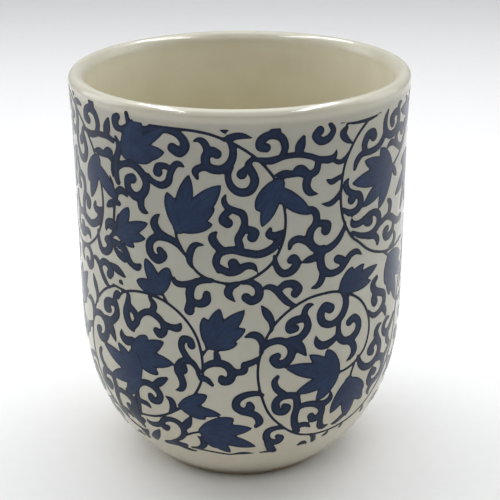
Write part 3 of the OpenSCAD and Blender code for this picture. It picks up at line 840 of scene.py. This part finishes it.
def print_ink():
    """Cobalt print: dark at its edges, bluer inside the petals, with the grain of the strokes."""
    look = Look("print_ink", .17)
    stretched = look.node("Mapping", {"Vector": look.piece_value("ink_place", "Vector")})
    stretched.inputs["Scale"].default_value = (1, .16, .02)
    streaks = look.noise(.42, 3.0, .6, stretched.outputs[0])
    inner = look.spread(look.piece_value("ink_depth"), .12, .75)
    stroke = look.mixed(inner, (.006, .013, .036), (.0105, .0245, .062))
    washed = look.spread(look.piece_value("petal_depth"), .1, .6)
    colour = look.mixed(washed, stroke, (.0175, .0365, .088))
    patches = look.spread(look.noise(.0045, 3.0, .6), .35, .65)
    colour = look.mixed(patches, colour, (.76, .8, .84), "MULTIPLY")
    brushed = look.ramp(streaks, [(.3, (.7, .74, .8)), (.5, (1.0, 1.0, 1.0)), (.75, (1.35, 1.28, 1.2))])
    colour = look.mixed(1.0, colour, brushed, "MULTIPLY")
    return look.finish(colour, streaks, (.13, .22), [look.waves(), (streaks, .000008)])


def paper():
    """The pale floor: a smooth sheet with the faintest tooth."""
    look = Look("paper", .2)
    fibres = look.noise(.004, 4.0)
    colour = look.ramp(fibres, [(.3, (.895, .895, .895)), (.7, (.91, .91, .91))])
    return look.finish(colour, fibres, (.66, .74), [(fibres, .00001)])


# ---- the cup

def build_cup():
    """The clay and its three glazes, each an outline turned about the axis."""
    outside, inside = outside_path(), inside_path()
    outside_in = [tuple(p) for p in moved_in(outside, GLAZE_T)]
    inside_in = [tuple(p) for p in moved_in(inside, GLAZE_T)]
    inside_in[-1] = (0, inside[-1][1] - GLAZE_T)
    seam = (CREST_R, CUP_H - GLAZE_T)
    edge_r = outside_in[0][0] - FOOT_ROUND
    inner_r = edge_r - FOOT_FACE
    recess_r = inner_r - RECESS_EDGE
    recess_top = RECESS_H + GLAZE_T
    foot = [(0, recess_top), (recess_r, recess_top), (recess_r, RECESS_EDGE), (inner_r, 0), (edge_r, 0)]
    foot += [(edge_r + out, up) for out, up in FOOT_CURVE]
    pool = [(0, RECESS_H), (recess_r, RECESS_H), (recess_r, recess_top), (0, recess_top)]
    glaze_out = outside_glaze()
    for node, loop, slot_name, material in (
            ("clay_body", foot + outside_in[:-1] + [seam] + inside_in[1:], "bare_clay", bare_clay()),
            ("outer_glaze", outside + [seam] + outside_in[-2::-1], "outside_glaze", glaze_out),
            ("inner_glaze", inside + inside_in[:0:-1] + [seam], "inside_glaze", inside_glaze()),
            ("base_glaze", pool, "outside_glaze", glaze_out)):
        new_piece(node + "_fine", *revolved(loop), node, slot_name, material)


def build_print():
    """The two ink sheets, which are one artwork turned half way round."""
    points, polygons = ink_outline(draw_sheet())
    wall, ink = Wall(), print_ink()
    for name, turn, node in (("front_print", 0, "front_transfer"),
                             ("back_print", math.pi, "back_transfer")):
        vertices, faces = ink_shell(points, polygons, turn, wall)
        piece = new_piece(name, vertices, faces, node, "print_ink", ink)
        add_ink_values(piece, points)


# ---- floor, light and camera, in metres

FLOOR_HALF = 3.0  # half the floor's width
# Softboxes: name, place, what it points at, size, and power in watts
SOFTBOXES = [
    ("top_softbox", (0, .13, .55), (0, .04, 0), (.8, .5), 2.7),
    ("front_softbox", (0, -.42, .52), (0, 0, .09), (.9, .24), 1.2),
    ("left_softbox", (-.62, .18, .3), (0, 0, .05), (.4, .5), 1.4),
    ("right_softbox", (.62, .18, .3), (0, 0, .05), (.4, .5), .95),
]
# Two thin tubes hang on each side, for the lip's and the wall's highlights
TUBES_OUT = (.25, .3)
TUBE_BACK, TUBE_UP = .12, .69
TUBE_SIZE = (.012, .9)
TUBE_POWER = 2.4
TUBE_SPLAY = math.radians(10)
SKY = [(.27, (.02, .02, .02)), (.55, (.95, .97, 1))]  # colours from the front, 0, to the back, 1
SKY_STRENGTH = .5
SENSOR, LENS = 36, 92.1  # the camera's sensor and lens, in millimetres
SHIFT = (.0178, .0438)   # the lens's shift, in picture widths
PITCH = math.radians(22.69)  # how far the camera looks down
ROLL = math.radians(-.45)
DISTANCE = .304  # from the camera to the point it looks at, on the cup's axis
AIM_Z = .0426    # that point's height


def build_stage():
    """The pale floor that the cup stands on."""
    mesh = bpy.data.meshes.new("floor")
    h = FLOOR_HALF
    mesh.from_pydata([(-h, -h, 0), (h, -h, 0), (h, h, 0), (-h, h, 0)], [], [(0, 1, 2, 3)])
    mesh.materials.append(paper())
    new_object("floor", mesh)


def area_light(name, place, target, size, power):
    """A rectangular lamp that points at a target."""
    light = bpy.data.lights.new(name, "AREA")
    light.shape = "RECTANGLE"
    light.size, light.size_y = size
    light.energy = power
    lamp = new_object(name, light)
    lamp.location = place
    lamp.rotation_euler = (Vector(target) - Vector(place)).to_track_quat("-Z", "Y").to_euler()
    return lamp


def build_light():
    """A sky that is dark in front and bright behind, the softboxes, and the tubes."""
    bpy.context.scene.world = bpy.data.worlds.new("studio")
    sky = Shading(bpy.context.scene.world)
    background = sky.nodes["Background"].inputs
    toward = sky.node("TexCoord", {}).outputs["Generated"]
    back_share = sky.math("MULTIPLY_ADD", sky.part(toward, "Y"), .5, .5)
    sky.put(sky.ramp(back_share, SKY), background["Color"])
    sky.put(SKY_STRENGTH, background["Strength"])
    for softbox in SOFTBOXES:
        area_light(*softbox)
    for side in (-1, 1):
        for out in TUBES_OUT:
            place, under = (side * out, TUBE_BACK, TUBE_UP), (side * out, TUBE_BACK, 0)
            tube = area_light("tube", place, under, TUBE_SIZE, TUBE_POWER)
            tube.rotation_euler = (0, 0, side * TUBE_SPLAY)
            tube.visible_diffuse = False
    bpy.context.scene.view_settings.view_transform = "Standard"


def build_camera():
    """The camera, in front of the cup and looking down on it."""
    camera = bpy.data.cameras.new("camera")
    camera.sensor_width = SENSOR
    camera.lens = LENS
    camera.shift_x, camera.shift_y = SHIFT
    camera.clip_start, camera.clip_end = .01, 20
    eye = new_object("camera", camera)
    eye.location = (0, -DISTANCE * math.cos(PITCH), AIM_Z + DISTANCE * math.sin(PITCH))
    eye.rotation_euler = (math.pi / 2 - PITCH, 0, 0)
    eye.rotation_euler.rotate_axis("Z", ROLL)
    bpy.context.scene.camera = eye


build_cup()
build_print()
build_stage()
build_light()
build_camera()
